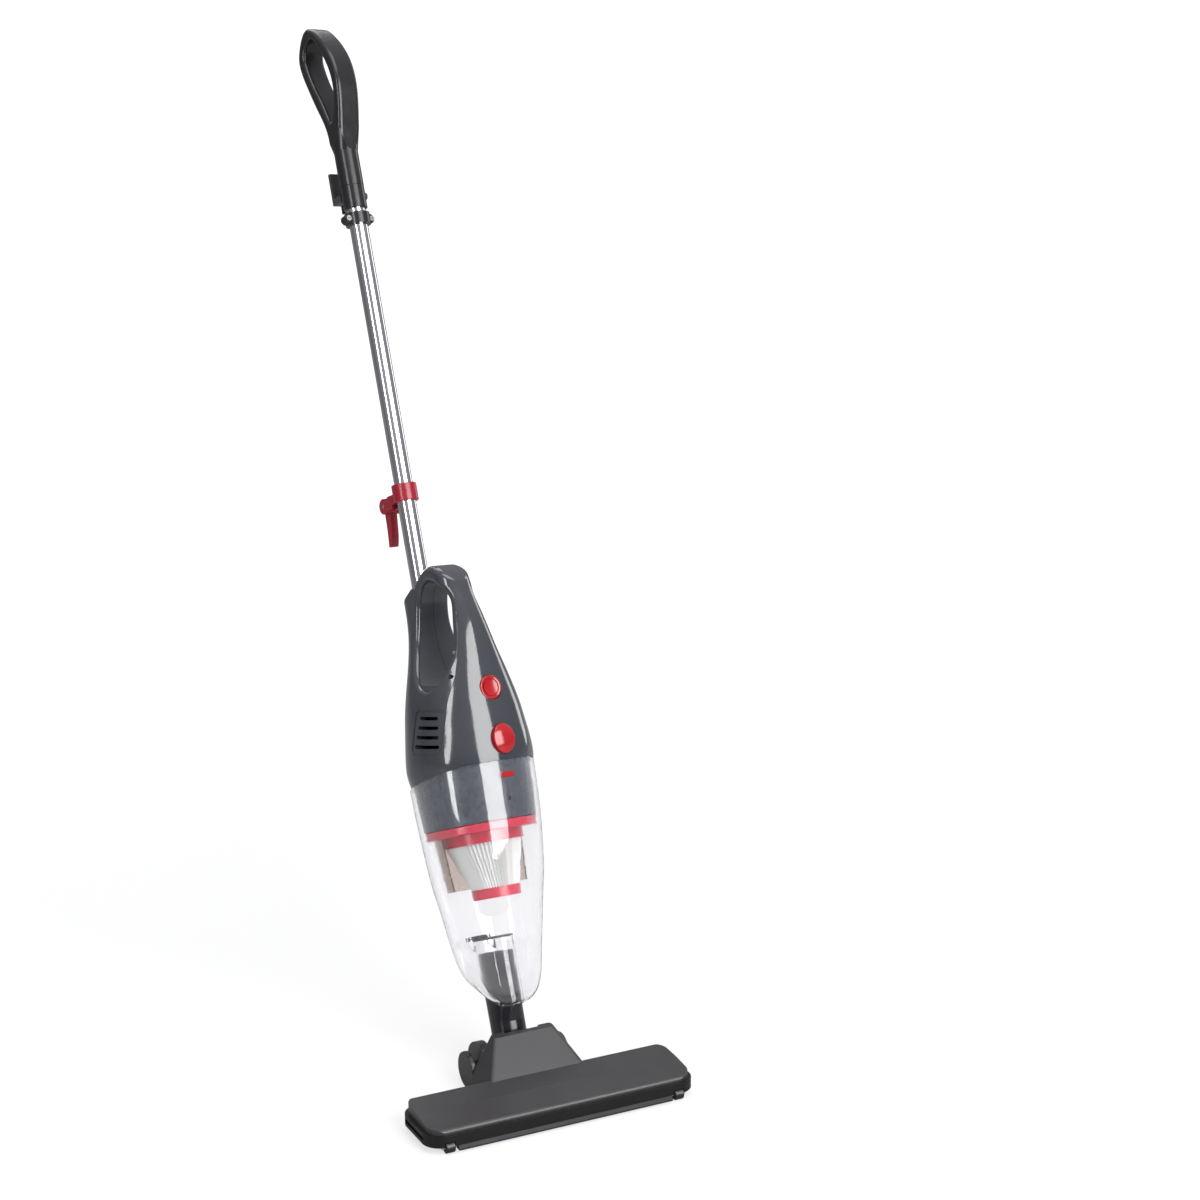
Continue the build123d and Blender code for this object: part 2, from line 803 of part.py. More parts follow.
with BuildPart() as trunk:
    add(lofted(housing_sections, 0))
    add(below_seam(0), mode=Mode.SUBTRACT)
    # arch over the hand hole, and the slanted mouth of the tube socket
    with BuildSketch(side):
        with BuildLine():
            arch = Spline((-84, 412), (-60, 455), (-42, 480), (-21, 489), (-4, 484), (mouth_y, mouth_z))
            Polyline(arch @ 1, (60, mouth_z - 27), (60, 200), (-84, 200), arch @ 0)
        make_face()
    extrude(amount=90, both=True, mode=Mode.INTERSECT)
    rim_edges = trunk.faces().filter_by(GeomType.EXTRUSION).edges()
    fillet([e for e in rim_edges if e.center().Z > 430 and abs(e.center().X) > 5], 7)
    # hand hole
    with BuildSketch(side):
        with BuildLine():
            Spline(*hand_hole, periodic=True)
        make_face()
    extrude(amount=90, both=True, mode=Mode.SUBTRACT)
    hole_edges = [e for e in trunk.edges() if -48 < e.center().Y < 8 and 395 < e.center().Z < 450]
    fillet(hole_edges, 5)
    # room for the motor and the cells, from below
    with Locations((0, core_y, 0)):
        with Locations((0, 0, 250)):
            Cylinder(skirt_r + 0.2, skirt_top + gap - 250, align=MIDDLE_UP, mode=Mode.SUBTRACT)
            Cylinder(52, 62, align=MIDDLE_UP, mode=Mode.SUBTRACT)
            Cylinder(room_r, room_top - 250, align=MIDDLE_UP, mode=Mode.SUBTRACT)
    # room for the board, and the pockets of the two buttons
    with BuildSketch(Plane.XZ.offset(53)):
        with Locations((0, board_z)):
            Rectangle(board_room, board_h + 4)
    extrude(amount=9, mode=Mode.SUBTRACT)
    for z, half_x, half_z in ((power_z, power_r, power_r), (release_z, release_x, release_h)):
        with BuildSketch(Plane.XZ.offset(button_back)):
            with Locations((0, z)):
                Ellipse(half_x + gap, half_z + gap)
        extrude(amount=20, mode=Mode.SUBTRACT)
        with BuildSketch(Plane.XZ.offset(button_back - press_room)):
            with Locations((0, z)):
                Ellipse(half_x + flange_out + gap, half_z + flange_out + gap)
        extrude(amount=press_room + flange_t + gap, mode=Mode.SUBTRACT)
    # socket of the handle tube
    with BuildSketch(Plane.XY.offset(tube_bottom)):
        with Locations((0, bar_y)):
            Circle(tube_r + slip)
    extrude(amount=100, mode=Mode.SUBTRACT)
    # vents: slanted slots in a shallow recess on each side
    vents = []
    for i in range(vent_count):
        length = vent_l - i * vent_step
        across = length / 2 * cos(radians(vent_rise))
        rise = length / 2 * sin(radians(vent_rise))
        spot = Location((vent_y + across, vent_z + i * vent_pitch + rise, 0), (0, 0, vent_rise))
        vents.append((spot, length))
    vent_middle = (vents[0][0].position + vents[-1][0].position) / 2
    with BuildPart(mode=Mode.PRIVATE) as skin:
        add(lofted(housing_sections, -2))
        add(lofted(housing_sections, vent_recess), mode=Mode.SUBTRACT)
        with BuildSketch(side):
            with Locations(Location((vent_middle.X, vent_middle.Y, 0), (0, 0, vent_rise))):
                RectangleRounded(vent_l + 8, vent_pitch * vent_count + 6, 6)
        extrude(amount=90, both=True, mode=Mode.INTERSECT)
    add(skin.part, mode=Mode.SUBTRACT)
    for x in (-75, 36):
        with BuildSketch(side.offset(x)):
            for spot, length in vents:
                with Locations(spot):
                    SlotOverall(length, vent_w)
        extrude(amount=39, mode=Mode.SUBTRACT)
    # recesses of the shell screws
    for y, z in shell_screws:
        with BuildSketch(side.offset(-60)):
            with Locations((y, z)):
                Circle(shell_screw_r + 0.3)
        extrude(amount=60 - screw_seat_x, mode=Mode.SUBTRACT)

# joint between the front shell and the two side shells
front_line = (
    (-48, 262),
    (-50.5, 315),
    (-54.5, 350),
    (-59.5, 374),
    (-60.5, 402),
    (-57.5, 436),
    (-43, 468),
    (-22, 495),
)

with BuildPart() as housing_front:
    add(trunk.part)
    with BuildSketch(side):
        with BuildLine():
            Polyline(*[(y - gap / 2, z) for y, z in front_line], (-90, 495), (-90, 262), close=True)
        make_face()
    extrude(amount=90, both=True, mode=Mode.INTERSECT)
lean_and_save(housing_front, "housing_front")

for name, way in (("housing_left", -1), ("housing_right", 1)):
    with BuildPart() as shell:
        add(trunk.part)
        with BuildSketch(side.offset(way * gap / 2)):
            with BuildLine():
                Polyline(*[(y + gap / 2, z) for y, z in front_line], (60, 495), (60, 262), close=True)
            make_face()
        extrude(amount=way * 90, mode=Mode.INTERSECT)
    lean_and_save(shell, name)

with BuildPart() as housing_screws:
    for y, z in shell_screws:
        with BuildSketch(side.offset(-screw_seat_x)):
            with Locations((y, z)):
                Circle(shell_screw_r)
        extrude(amount=-1.6)
        with BuildSketch(side.offset(-screw_seat_x - 1.6)):
            with Locations((y, z)):
                Rectangle(2.2, 0.6)
                Rectangle(0.6, 2.2)
        extrude(amount=0.8, mode=Mode.SUBTRACT)
lean_and_save(housing_screws, "housing_screws")

# ---------------------------------------------------------------- controls
with BuildPart() as power_button:
    with BuildSketch(Plane.XZ.offset(button_back)):
        with Locations((0, power_z)):
            Circle(power_r + flange_out)
    extrude(amount=flange_t)
    with BuildSketch(Plane.XZ.offset(button_back)):
        with Locations((0, power_z)):
            Circle(power_r)
    extrude(amount=power_out - button_back)
    fillet(power_button.faces().sort_by(Axis.Y)[0].edges(), 1)
    # dished face with a ring groove
    with Locations((0, -power_out - 38.6, power_z)):
        Sphere(40, mode=Mode.SUBTRACT)
    with BuildSketch(Plane.XZ.offset(power_out - 1.6)):
        with Locations((0, power_z)):
            Circle(9)
            Circle(8, mode=Mode.SUBTRACT)
    extrude(amount=3, mode=Mode.SUBTRACT)
lean_and_save(power_button, "power_button")

with BuildPart() as release_button:
    with BuildSketch(Plane.XZ.offset(button_back)):
        with Locations((0, release_z)):
            Ellipse(release_x, release_h)
    extrude(amount=release_out - button_back)
    # domed face
    with Locations((0, release_dome - release_out, release_z)):
        Sphere(release_dome, mode=Mode.INTERSECT)
    fillet(release_button.faces().sort_by(Axis.Y)[0].edges(), 1)
    # ribs across the face
    for i in range(rib_count):
        z = release_z + (i - rib_count / 2) * rib_pitch
        with BuildSketch(Plane.XZ.offset(release_out - 3)):
            with Locations((0, z)):
                SlotOverall(9, 0.9)
        extrude(amount=3.3)
    with BuildSketch(Plane.XZ.offset(button_back)):
        with Locations((0, release_z)):
            Ellipse(release_x + flange_out, release_h + flange_out)
    extrude(amount=flange_t)
lean_and_save(release_button, "release_button")

with BuildPart() as control_board:
    with BuildSketch(Plane.XZ.offset(57.2)):
        with Locations((0, board_z)):
            Rectangle(board_room - 2 * gap, board_h)
    extrude(amount=1.6)
    with BuildSketch(Plane.XZ.offset(58.8)):
        with Locations((0, power_z)):
            Rectangle(12, 12)
    extrude(amount=2)
    with BuildSketch(Plane.XZ.offset(60.8)):
        with Locations((0, power_z)):
            Circle(3)
    extrude(amount=3.4)
    with BuildSketch(Plane.XZ.offset(57.2)):
        with Locations((-12, 345), (12, 345), (0, 330)):
            Rectangle(8, 6)
    extrude(amount=-3)
lean_and_save(control_board, "control_board")

# ---------------------------------------------------------------- handle tube
with BuildPart() as wand_tube:
    with BuildSketch(Plane.XY.offset(tube_bottom)):
        with Locations((0, bar_y)):
            Circle(tube_r)
            Circle(tube_r - tube_wall, mode=Mode.SUBTRACT)
    extrude(amount=tube_top - tube_bottom)
    with BuildSketch(side):
        with Locations((bar_y, lock_z)):
            Circle(lock_r + gap)
    extrude(amount=20, mode=Mode.SUBTRACT)
lean_and_save(wand_tube, "wand_tube")

hook_y = bar_y + hook_axis_y
with BuildPart() as cord_hook_collar:
    with BuildSketch(Plane.XY.offset(hook_z - 9)):
        with Locations((0, bar_y)):
            Circle(12.7)
    extrude(amount=18)
    fillet(cord_hook_collar.edges(), 1)
    with BuildSketch(side):
        with Locations((bar_y + 15, hook_z - 4)):
            Rectangle(12, 10)
    extrude(amount=9, both=True)
    with BuildSketch(side):
        with Locations((hook_y, hook_axis_z)):
            Circle(8)
        with Locations(((hook_y + bar_y + 14) / 2, hook_axis_z + 0.5)):
            Rectangle(hook_y - bar_y - 14, 13)
    extrude(amount=9, both=True)
    # fork for the lever
    with BuildSketch(side):
        with Locations((hook_y, hook_axis_z)):
            Rectangle(18.6, 40)
    extrude(amount=lever_w / 2 + gap, both=True, mode=Mode.SUBTRACT)
    with BuildSketch(side):
        with Locations((hook_y, hook_axis_z)):
            Circle(hook_pin_r)
    extrude(amount=12, both=True, mode=Mode.SUBTRACT)
    with Locations((0, bar_y, hook_z)):
        Cylinder(tube_r, 30, mode=Mode.SUBTRACT)
lean_and_save(cord_hook_collar, "cord_hook_collar")

with BuildPart() as cord_hook_lever:
    with BuildSketch(side):
        with Locations((hook_y, hook_axis_z)):
            Circle(7.6)
        with BuildLine():
            Spline(
                (hook_y - 4.5, hook_axis_z),
                (hook_y - 1.5, hook_axis_z - 16),
                (hook_y + 1.5, hook_axis_z - 32),
                (hook_y + 5, hook_axis_z - lever_l),
            )
            Polyline(
                (hook_y + 5, hook_axis_z - lever_l),
                (hook_y + 10, hook_axis_z - lever_l + 0.5),
            )
            Spline(
                (hook_y + 10, hook_axis_z - lever_l + 0.5),
                (hook_y + 8, hook_axis_z - 24),
                (hook_y + 7.6, hook_axis_z),
            )
            Line((hook_y + 7.6, hook_axis_z), (hook_y - 4.5, hook_axis_z))
        make_face()
    extrude(amount=lever_w / 2, both=True)
    with BuildSketch(side):
        with Locations((hook_y, hook_axis_z)):
            Circle(hook_pin_r + run)
    extrude(amount=12, both=True, mode=Mode.SUBTRACT)
lean_and_save(cord_hook_lever, "cord_hook_lever")

with BuildPart() as hook_pin:
    with BuildSketch(side):
        with Locations((hook_y, hook_axis_z)):
            Circle(hook_pin_r)
    extrude(amount=9.4, both=True)
lean_and_save(hook_pin, "hook_pin")

with BuildPart() as clamp_ring:
    with BuildSketch(Plane.XY.offset(clamp_z - 6)):
        with Locations((0, bar_y)):
            Circle(13)
    extrude(amount=12)
    with BuildSketch(Plane.XZ.offset(-bar_y)):
        with Locations((-12, clamp_z), (12, clamp_z)):
            Circle(5)
    extrude(amount=5, both=True)
    with BuildSketch(Plane.XZ.offset(-bar_y)):
        with Locations((-13.6, clamp_z), (13.6, clamp_z)):
            Circle(1.7)
    extrude(amount=8, both=True, mode=Mode.SUBTRACT)
    with BuildSketch(Plane.XZ.offset(-bar_y + 5)):
        with Locations((-13.6, clamp_z), (13.6, clamp_z)):
            Circle(3)
    extrude(amount=8, mode=Mode.SUBTRACT)
    with Locations((0, bar_y, clamp_z)):
        Cylinder(tube_r, 30, mode=Mode.SUBTRACT)
lean_and_save(clamp_ring, "clamp_ring")

with BuildPart() as clamp_screws:
    for x in (-13.6, 13.6):
        with BuildSketch(Plane.XZ.offset(-bar_y - 5)):
            with Locations((x, clamp_z)):
                Circle(1.7)
        extrude(amount=10)
        with BuildSketch(Plane.XZ.offset(-bar_y + 5)):
            with Locations((x, clamp_z)):
                Circle(2.8)
        extrude(amount=1.4)
        with BuildSketch(Plane.XZ.offset(-bar_y + 6.4)):
            with Locations((x, clamp_z)):
                Rectangle(3.2, 0.7)
                Rectangle(0.7, 3.2)
        extrude(amount=-0.9, mode=Mode.SUBTRACT)
lean_and_save(clamp_screws, "clamp_screws")

with BuildPart() as handle_collar:
    with BuildSketch(Plane.XY.offset(collar_z)):
        with Locations((0, bar_y)):
            Circle(12.2)
    extrude(amount=grip_z - collar_z)
    fillet(handle_collar.edges(), 0.8)
    with Locations((0, bar_y, collar_z)):
        Cylinder(tube_r, 60, mode=Mode.SUBTRACT)
    with BuildSketch(side):
        with Locations((bar_y, lock_z)):
            Circle(lock_r + gap)
    extrude(amount=20, mode=Mode.SUBTRACT)
lean_and_save(handle_collar, "handle_collar")

with BuildPart() as wand_lock_button:
    with BuildSketch(side.offset(7.6)):
        with Locations((bar_y, lock_z)):
            Circle(lock_r)
    extrude(amount=7.4)
    fillet(wand_lock_button.faces().sort_by(Axis.X)[-1].edges(), 1.2)
    with BuildSketch(side.offset(6.2)):
        with Locations((bar_y, lock_z)):
            Rectangle(3.4, 14)
    extrude(amount=1.6)
lean_and_save(wand_lock_button, "wand_lock_button")


def from_tube(points):
    return [(bar_y + u, z) for u, z in points]


with BuildPart() as loop_band:
    with BuildSketch(side):
        with BuildLine():
            Spline(
                *from_tube(
                    (
                        (grip_r, 930),
                        (15, 964),
                        (23, 982),
                        (32, 1004),
                        (40, 1027),
                        (41.5, 1040),
                        (36, 1054),
                        (18, 1068),
                        (0, 1056),
                        (-13, 1039),
                        (-22.5, 1018),
                        (-24.9, 996),
                        (-21, 972),
                        (-15, 950),
                        (-grip_r, 930),
                    )
                )
            )
            Line(*from_tube(((-grip_r, 930), (grip_r, 930))))
        make_face()
    extrude(amount=grip_w / 2, both=True)
    fillet([e for e in loop_band.edges() if abs(e.center().X) > 6 and e.length > 60], 4.5)
    with BuildSketch(side):
        with BuildLine():
            Spline(
                *from_tube(
                    (
                        (-2, 963),
                        (-9.5, 976),
                        (-13.5, 995),
                        (-10.5, 1015),
                        (0, 1038),
                        (17, 1055),
                        (28, 1047),
                        (28.5, 1028),
                        (20, 1004),
                        (9.5, 980),
                    )
                ),
                periodic=True,
            )
        make_face()
    extrude(amount=grip_w, both=True, mode=Mode.SUBTRACT)
    on_sides = [e for e in loop_band.edges() if abs(e.center().X) > grip_w / 2 - 0.1]
    fillet([e for e in on_sides if 190 < e.length < 240], 4.5)

# the loop grows out of a round stem
with BuildPart() as stem_flare:
    with BuildSketch(Plane.XY.offset(929)):
        with Locations((0, bar_y)):
            Circle(grip_r)
    with BuildSketch(Plane.XY.offset(960)):
        with Locations((0, bar_y)):
            Ellipse(17, 24)
    loft()
    with Locations((0, bar_y, 1020)):
        Box(100, 160, 120.2)

with BuildPart() as handle_grip:
    add(loop_band.part)
    add(stem_flare.part, mode=Mode.INTERSECT)
    with BuildSketch(Plane.XY.offset(grip_z)):
        with Locations((0, bar_y)):
            Circle(grip_r)
    extrude(amount=37.5)
    with Locations((0, bar_y, grip_z)):
        Cylinder(tube_r + slip, 2 * (tube_top - grip_z + 0.5), mode=Mode.SUBTRACT)
lean_and_save(handle_grip, "handle_grip")

with BuildPart() as upper_cord_hook:
    with BuildSketch(side):
        with BuildLine():
            Polyline(
                *from_tube(((11, 881), (27, 881), (27, 915), (23.5, 915), (23.5, 888), (11, 888))),
                close=True,
            )
        make_face()
    extrude(amount=9, both=True)
    fillet([e for e in upper_cord_hook.edges() if e.center().Z > 914], 1.2)
    with Locations((0, bar_y, collar_z)):
        Cylinder(12.2, 60, mode=Mode.SUBTRACT)
lean_and_save(upper_cord_hook, "upper_cord_hook")

with BuildPart() as cord_clip:
    with BuildSketch(side):
        with Locations((bar_y + 15.8, 874.5)):
            RectangleRounded(9.4, 9, 1)
    extrude(amount=4, both=True)
    with BuildSketch(side):
        with Locations((bar_y + 16.4, 872), (bar_y + 16.4, 877)):
            Circle(1.5)
    extrude(amount=8, both=True, mode=Mode.SUBTRACT)
    with Locations((0, bar_y, collar_z)):
        Cylinder(12.2, 60, mode=Mode.SUBTRACT)
lean_and_save(cord_clip, "cord_clip")
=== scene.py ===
import bpy
import bmesh
from math import radians, tau
from mathutils import Matrix, Vector


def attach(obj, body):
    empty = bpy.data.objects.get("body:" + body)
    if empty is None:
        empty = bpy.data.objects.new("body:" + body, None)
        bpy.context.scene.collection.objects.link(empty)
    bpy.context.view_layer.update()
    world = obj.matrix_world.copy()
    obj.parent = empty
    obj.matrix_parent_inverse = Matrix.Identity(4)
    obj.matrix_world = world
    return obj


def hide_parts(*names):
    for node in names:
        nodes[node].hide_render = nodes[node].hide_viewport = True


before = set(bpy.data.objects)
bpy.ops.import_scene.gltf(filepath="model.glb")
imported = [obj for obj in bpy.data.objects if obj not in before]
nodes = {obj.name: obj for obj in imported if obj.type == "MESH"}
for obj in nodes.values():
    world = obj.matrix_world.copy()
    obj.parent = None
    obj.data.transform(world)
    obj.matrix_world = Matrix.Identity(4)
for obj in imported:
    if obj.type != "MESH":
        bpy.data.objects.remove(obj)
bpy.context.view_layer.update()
print("frame loaded")

# the hand unit leans back and is turned about the neck; its own frame has +Z up the neck
stance = {"lean": 23.0, "turn": 11.0, "pivot": (0.0, 0.081, 0.018)}
leanBack = Matrix.Rotation(radians(-stance["lean"]), 4, "X")
turnAbout = Matrix.Rotation(radians(stance["turn"]), 4, "Z")
unitFrame = Matrix.Translation(stance["pivot"]) @ leanBack @ turnAbout

# ------------------------------------------------ camera, floor and light
studio = {
    "cameraAt": (-0.903, -1.876, 1.041),
    "yaw": -27.0,
    "pitch": 14.57,
    "lens": 72.0,
    "sensor": 36.0,
    "farClip": 500.0,
    "floorHalf": 120.0,
    "floorColor": (0.24, 0.24, 0.241),
    "floorRoughness": 0.6,
    "floorShine": 0.2,
    "glowNear": 0.66,
    "glowFar": 0.97,
    "glossSeesFloor": 0.10,
    "glowReach": (0.5, 3.6),
    "backdrop": (1.0, 1.0, 1.0),
    "roomLow": (0.10, 0.10, 0.11),
    "roomHigh": (0.62, 0.63, 0.65),
    "roomRise": (-0.1, 0.9),
    "lampsAim": (0.0, 0.25, 0.5),
}


def addCamera():
    data = bpy.data.cameras.new("photoCamera")
    data.lens = studio["lens"]
    data.sensor_width = studio["sensor"]
    data.clip_end = studio["farClip"]
    camera = bpy.data.objects.new("photoCamera", data)
    bpy.context.collection.objects.link(camera)
    camera.location = studio["cameraAt"]
    camera.rotation_euler = (radians(90 - studio["pitch"]), 0, radians(studio["yaw"]))
    bpy.context.scene.camera = camera


def addLight(name, at, aim, size, power):
    data = bpy.data.lights.new(name, "AREA")
    data.shape = "RECTANGLE"
    data.size, data.size_y = size
    data.energy = power
    lamp = bpy.data.objects.new(name, data)
    bpy.context.collection.objects.link(lamp)
    lamp.location = at
    lamp.visible_camera = False
    lamp.rotation_euler = (Vector(aim) - Vector(at)).to_track_quat("-Z", "Y").to_euler()


# each lamp's place, its size across and up, and its power in watts
lamps = {
    "leftStrip": ((-2.0, -0.75, 1.35), (0.42, 1.9), 22),
    "frontPanel": ((0.66, -2.1, 1.55), (1.8, 2.3), 100),
    "rightStrip": ((2.0, 0.9, 1.1), (0.5, 2.0), 8),
    "top": ((0.0, -0.1, 2.6), (1.6, 1.2), 20),
    "rimBack": ((0.2, 2.1, 2.5), (1.6, 1.0), 14),
}


def addRoom():
    # a white backdrop, and a dimmer room with a bright ceiling for what the gloss shows
    world = bpy.data.worlds.new("softStudio")
    bpy.context.scene.world = world
    world.use_nodes = True
    tree = world.node_tree
    toward = tree.nodes.new("ShaderNodeSeparateXYZ")
    tree.links.new(tree.nodes.new("ShaderNodeTexCoord").outputs["Generated"], toward.inputs[0])
    height = tree.nodes.new("ShaderNodeMapRange")
    height.inputs["From Min"].default_value, height.inputs["From Max"].default_value = studio["roomRise"]
    tree.links.new(toward.outputs["Z"], height.inputs["Value"])
    room = tree.nodes.new("ShaderNodeMix")
    room.data_type = "RGBA"
    tree.links.new(height.outputs["Result"], room.inputs["Factor"])
    room.inputs["A"].default_value = (*studio["roomLow"], 1)
    room.inputs["B"].default_value = (*studio["roomHigh"], 1)
    seen = tree.nodes.new("ShaderNodeMix")
    seen.data_type = "RGBA"
    path = tree.nodes.new("ShaderNodeLightPath")
    direct = tree.nodes.new("ShaderNodeMath")
    direct.operation = "MAXIMUM"
    tree.links.new(path.outputs["Is Camera Ray"], direct.inputs[0])
    tree.links.new(path.outputs["Is Transmission Ray"], direct.inputs[1])
    tree.links.new(direct.outputs[0], seen.inputs["Factor"])
    tree.links.new(room.outputs["Result"], seen.inputs["A"])
    seen.inputs["B"].default_value = (*studio["backdrop"], 1)
    tree.links.new(seen.outputs["Result"], tree.nodes["Background"].inputs["Color"])


def paintFloor():
    paint = bpy.data.materials.new("floorPaint")
    paint.use_nodes = True
    tree = paint.node_tree
    shader = tree.nodes["Principled BSDF"]
    shader.inputs["Base Color"].default_value = (*studio["floorColor"], 1)
    shader.inputs["Roughness"].default_value = studio["floorRoughness"]
    shader.inputs["Specular IOR Level"].default_value = studio["floorShine"]
    shader.inputs["Emission Color"].default_value = (1, 1, 1, 1)
    # the floor glows more where the lamps don't reach, so it stays evenly pale
    spot = tree.nodes.new("ShaderNodeTexCoord").outputs["Object"]
    away = tree.nodes.new("ShaderNodeVectorMath")
    away.operation = "LENGTH"
    tree.links.new(spot, away.inputs[0])
    glow = tree.nodes.new("ShaderNodeMapRange")
    glow.interpolation_type = "SMOOTHSTEP"
    glow.inputs["From Min"].default_value, glow.inputs["From Max"].default_value = studio["glowReach"]
    glow.inputs["To Min"].default_value = studio["glowNear"]
    glow.inputs["To Max"].default_value = studio["glowFar"]
    tree.links.new(away.outputs["Value"], glow.inputs["Value"])
    # reflections see a duller floor than the eye does, which keeps the gloss dark between the lamps
    path = tree.nodes.new("ShaderNodeLightPath")
    mirrored = tree.nodes.new("ShaderNodeMath")
    mirrored.operation = "SUBTRACT"
    tree.links.new(path.outputs["Is Glossy Ray"], mirrored.inputs[0])
    tree.links.new(path.outputs["Is Transmission Ray"], mirrored.inputs[1])
    dull = tree.nodes.new("ShaderNodeMapRange")
    dull.inputs["To Min"].default_value = 1.0
    dull.inputs["To Max"].default_value = studio["glossSeesFloor"]
    tree.links.new(mirrored.outputs[0], dull.inputs["Value"])
    strength = tree.nodes.new("ShaderNodeMath")
    strength.operation = "MULTIPLY"
    tree.links.new(glow.outputs["Result"], strength.inputs[0])
    tree.links.new(dull.outputs["Result"], strength.inputs[1])
    tree.links.new(strength.outputs[0], shader.inputs["Emission Strength"])
    return paint


def addFloor():
    mesh = bpy.data.meshes.new("studioFloor")
    form = bmesh.new()
    half = studio["floorHalf"]
    corners = [form.verts.new((x * half, y * half, 0)) for x, y in ((-1, -1), (1, -1), (1, 1), (-1, 1))]
    form.faces.new(corners)
    form.to_mesh(mesh)
    form.free()
    floor = bpy.data.objects.new("studioFloor", mesh)
    bpy.context.collection.objects.link(floor)
    mesh.materials.append(paintFloor())


addCamera()
addRoom()
addFloor()
for lampName, (lampAt, lampSize, lampPower) in lamps.items():
    addLight(lampName, lampAt, studio["lampsAim"], lampSize, lampPower)
bpy.context.scene.view_settings.view_transform = "Standard"
print("camera and light placed")


# ------------------------------------------------ shared shader groups
def newGroup(name, inputs, outputs):
    tree = bpy.data.node_groups.new(name, "ShaderNodeTree")
    for label, kind, value in inputs:
        socket = tree.interface.new_socket(name=label, in_out="INPUT", socket_type=kind)
        socket.default_value = value
    for label, kind in outputs:
        tree.interface.new_socket(name=label, in_out="OUTPUT", socket_type=kind)
    return tree, tree.nodes.new("NodeGroupInput"), tree.nodes.new("NodeGroupOutput")


def addNoise(tree, coords, scale, detail=3.0, rough=0.5, stretch=None):
    noise = tree.nodes.new("ShaderNodeTexNoise")
    noise.inputs["Detail"].default_value = detail
    noise.inputs["Roughness"].default_value = rough
    if hasattr(scale, "links"):
        tree.links.new(scale, noise.inputs["Scale"])
    else:
        noise.inputs["Scale"].default_value = scale
    if stretch:
        mapping = tree.nodes.new("ShaderNodeMapping")
        mapping.inputs["Scale"].default_value = stretch
        tree.links.new(coords, mapping.inputs["Vector"])
        coords = mapping.outputs["Vector"]
    tree.links.new(coords, noise.inputs["Vector"])
    return noise.outputs["Fac"]


def addRange(tree, value, low, high, outLow, outHigh):
    remap = tree.nodes.new("ShaderNodeMapRange")
    tree.links.new(value, remap.inputs["Value"])
    ends = {"From Min": low, "From Max": high, "To Min": outLow, "To Max": outHigh}
    for label, number in ends.items():
        if hasattr(number, "links"):
            tree.links.new(number, remap.inputs[label])
        else:
            remap.inputs[label].default_value = number
    return remap.outputs["Result"]


def addMath(tree, kind, a, b):
    node = tree.nodes.new("ShaderNodeMath")
    node.operation = kind
    for place, number in enumerate((a, b)):
        if hasattr(number, "links"):
            tree.links.new(number, node.inputs[place])
        else:
            node.inputs[place].default_value = number
    return node.outputs[0]


def addMix(tree, fac, a, b):
    node = tree.nodes.new("ShaderNodeMix")
    node.data_type = "RGBA"
    for label, thing in (("Factor", fac), ("A", a), ("B", b)):
        socket = [s for s in node.inputs if s.name == label and s.enabled][0]
        if hasattr(thing, "links"):
            tree.links.new(thing, socket)
        else:
            socket.default_value = thing
    return [s for s in node.outputs if s.enabled][0]


def makeGrainGroup():
    # moulded plastic: slow drift of tone, fine texture and patchy gloss
    tree, gives, takes = newGroup(
        "mouldedGrain",
        (
            ("Tone", "NodeSocketColor", (0.1, 0.1, 0.1, 1)),
            ("Second Tone", "NodeSocketColor", (0.12, 0.12, 0.12, 1)),
            ("Grain Scale", "NodeSocketFloat", 900.0),
            ("Gloss Low", "NodeSocketFloat", 0.2),
            ("Gloss High", "NodeSocketFloat", 0.3),
        ),
        (("Color", "NodeSocketColor"), ("Roughness", "NodeSocketFloat"), ("Height", "NodeSocketFloat")),
    )
    coords = tree.nodes.new("ShaderNodeTexCoord").outputs["Object"]
    drift = addRange(tree, addNoise(tree, coords, 14.0, 4.0), 0.35, 0.65, 0.0, 1.0)
    toned = addMix(tree, drift, gives.outputs["Tone"], gives.outputs["Second Tone"])
    tree.links.new(toned, takes.inputs["Color"])
    patch = addNoise(tree, coords, 60.0, 5.0, 0.6)
    gloss = addRange(tree, patch, 0.3, 0.7, gives.outputs["Gloss Low"], gives.outputs["Gloss High"])
    tree.links.new(gloss, takes.inputs["Roughness"])
    tree.links.new(addNoise(tree, coords, gives.outputs["Grain Scale"], 2.0), takes.inputs["Height"])
    return tree


def makeEdgeGroup():
    # paler, slightly rubbed edges
    tree, gives, takes = newGroup(
        "rubbedEdges",
        (("Radius", "NodeSocketFloat", 0.0008), ("Amount", "NodeSocketFloat", 1.0)),
        (("Mask", "NodeSocketFloat"),),
    )
    bevel = tree.nodes.new("ShaderNodeBevel")
    bevel.samples = 4
    tree.links.new(gives.outputs["Radius"], bevel.inputs["Radius"])
    geometry = tree.nodes.new("ShaderNodeNewGeometry")
    dot = tree.nodes.new("ShaderNodeVectorMath")
    dot.operation = "DOT_PRODUCT"
    tree.links.new(bevel.outputs["Normal"], dot.inputs[0])
    tree.links.new(geometry.outputs["Normal"], dot.inputs[1])
    edge = addRange(tree, dot.outputs["Value"], 0.97, 0.80, 0.0, 1.0)
    coords = tree.nodes.new("ShaderNodeTexCoord").outputs["Object"]
    broken = addRange(tree, addNoise(tree, coords, 220.0, 4.0), 0.40, 0.62, 0.2, 1.0)
    rubbed = addMath(tree, "MULTIPLY", edge, broken)
    tree.links.new(addMath(tree, "MULTIPLY", rubbed, gives.outputs["Amount"]), takes.inputs["Mask"])
    return tree


